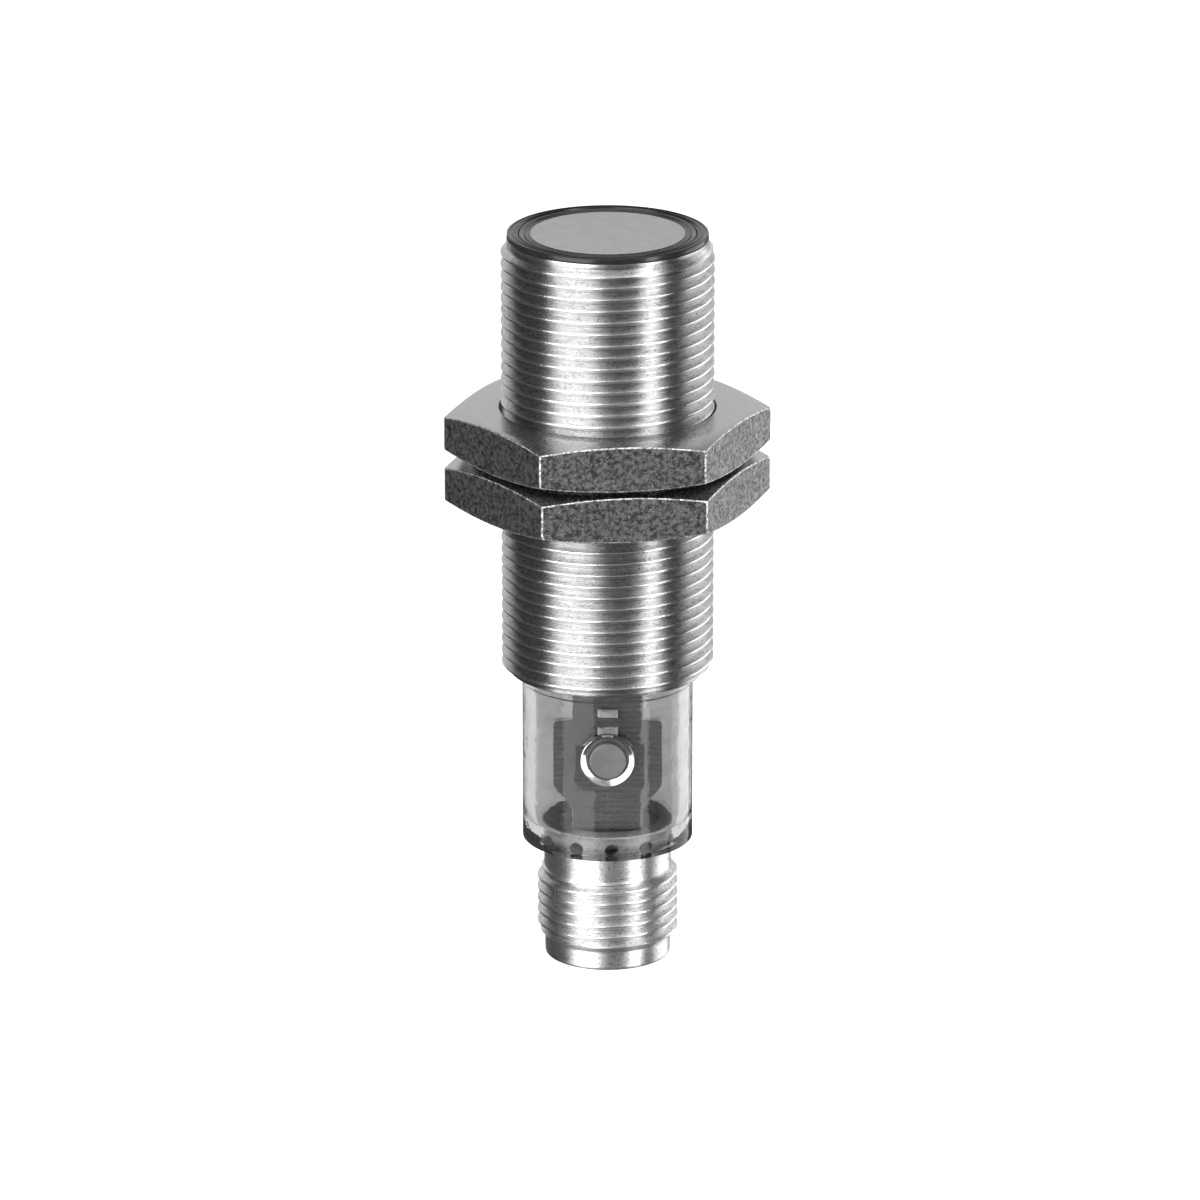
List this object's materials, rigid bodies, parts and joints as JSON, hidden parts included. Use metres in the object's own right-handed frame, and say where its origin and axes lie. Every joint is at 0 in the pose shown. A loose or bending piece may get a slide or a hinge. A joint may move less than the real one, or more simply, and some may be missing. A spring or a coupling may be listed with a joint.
{
  "type": "ultrasonic proximity sensor",
  "caption": "Cylindrical proximity sensor: threaded steel barrel with two hex nuts, grey sensing face, clear end housing with a teach button and a threaded plug connector.",
  "frame": {"origin": "centre of the connector rim, on the barrel axis, at the lowest point", "axes": "+Z along the barrel axis from the connector to the sensing face, -Y through the teach button, +X to the right seen from the button side"},
  "size_m": [0.0276, 0.0254, 0.064],
  "materials": {
    "barrel_steel": "turned stainless steel, rolled thread",
    "nut_metal": "nickel-plated brass, worn edges, mottled faces",
    "shell_metal": "turned, nickel-plated brass",
    "black_plastic": "moulded, satin",
    "seal_rubber": "matt",
    "face_resin": "grey glass-filled epoxy, matt",
    "piezo_ceramic": "silvered ceramic",
    "backing_resin": "cast foam-filled resin",
    "circuit_board": "solder mask, semi-gloss",
    "chip_resin": "moulded epoxy",
    "capacitor_case": "moulded epoxy",
    "ferrite": "sintered ferrite",
    "copper_wire": "enamelled copper",
    "led_lens": "clear epoxy on white body",
    "switch_metal": "pressed steel cover",
    "button_plastic": "moulded, smoked",
    "clear_plastic": "clear smoked polyamide, slightly hazy",
    "contact_gold": "gold flash",
    "wire_insulation_red": "extruded",
    "wire_insulation_brown": "extruded",
    "wire_insulation_white": "extruded",
    "wire_insulation_blue": "extruded",
    "wire_insulation_black": "extruded"
  },
  "bodies": {
    "sensor": {"amplifier_chip": "chip_resin", "barrel": "barrel_steel", "board_passives": "chip_resin", "carrier_seal": "seal_rubber", "connector_shell": "shell_metal", "contact_carrier": "black_plastic", "contact_pin_1": "contact_gold", "contact_pin_2": "contact_gold", "contact_pin_3": "contact_gold", "contact_pin_4": "contact_gold", "damping_block": "backing_resin", "decoupling_ring": "seal_rubber", "end_housing": "clear_plastic", "front_bezel": "black_plastic", "housing_seal": "seal_rubber", "led_green": "led_lens", "led_yellow": "led_lens", "main_board": "circuit_board", "matching_layer": "face_resin", "microcontroller": "chip_resin", "piezo_disc": "piezo_ceramic", "piezo_lead_ground": "wire_insulation_black", "piezo_lead_live": "wire_insulation_red", "storage_capacitor": "capacitor_case", "tactile_switch": "switch_metal", "transducer_cup": "black_plastic", "transformer_coil": "copper_wire", "transformer_core": "ferrite", "voltage_regulator": "chip_resin", "wire_black": "wire_insulation_black", "wire_blue": "wire_insulation_blue", "wire_brown": "wire_insulation_brown", "wire_white": "wire_insulation_white"},
    "button": {"teach_button": "button_plastic", "switch_plunger": "black_plastic"},
    "upper_nut_core": {"upper_nut_thread": "nut_metal"},
    "upper_nut": {"upper_nut": "nut_metal"},
    "lower_nut_core": {"lower_nut_thread": "nut_metal"},
    "lower_nut": {"lower_nut": "nut_metal"}
  },
  "joints": [
    {"name": "teach_button_press", "type": "slide", "parent": "sensor", "child": "button", "axis": [0, 1, 0], "range_m": [0, 0.00025], "stiffness_N_per_m": 2000},
    {"name": "upper_nut_travel", "type": "slide", "parent": "sensor", "child": "upper_nut_core", "axis": [0, 0, 1], "range_m": [0, 0.014]},
    {"name": "upper_nut_turn", "type": "hinge", "parent": "upper_nut_core", "child": "upper_nut", "pos_m": [0, 0, 0.0468], "axis": [0, 0, 1], "range_deg": [0, 5040]},
    {"name": "lower_nut_travel", "type": "slide", "parent": "sensor", "child": "lower_nut_core", "axis": [0, 0, 1], "range_m": [-0.014, 0]},
    {"name": "lower_nut_turn", "type": "hinge", "parent": "lower_nut_core", "child": "lower_nut", "pos_m": [0, 0, 0.0424], "axis": [0, 0, 1], "range_deg": [-5040, 0]}
  ],
  "couplings": [
    {"joint": "upper_nut_travel", "follows": "upper_nut_turn", "m_per_rad": 0.00015915},
    {"joint": "lower_nut_travel", "follows": "lower_nut_turn", "m_per_rad": 0.00015915}
  ]
}
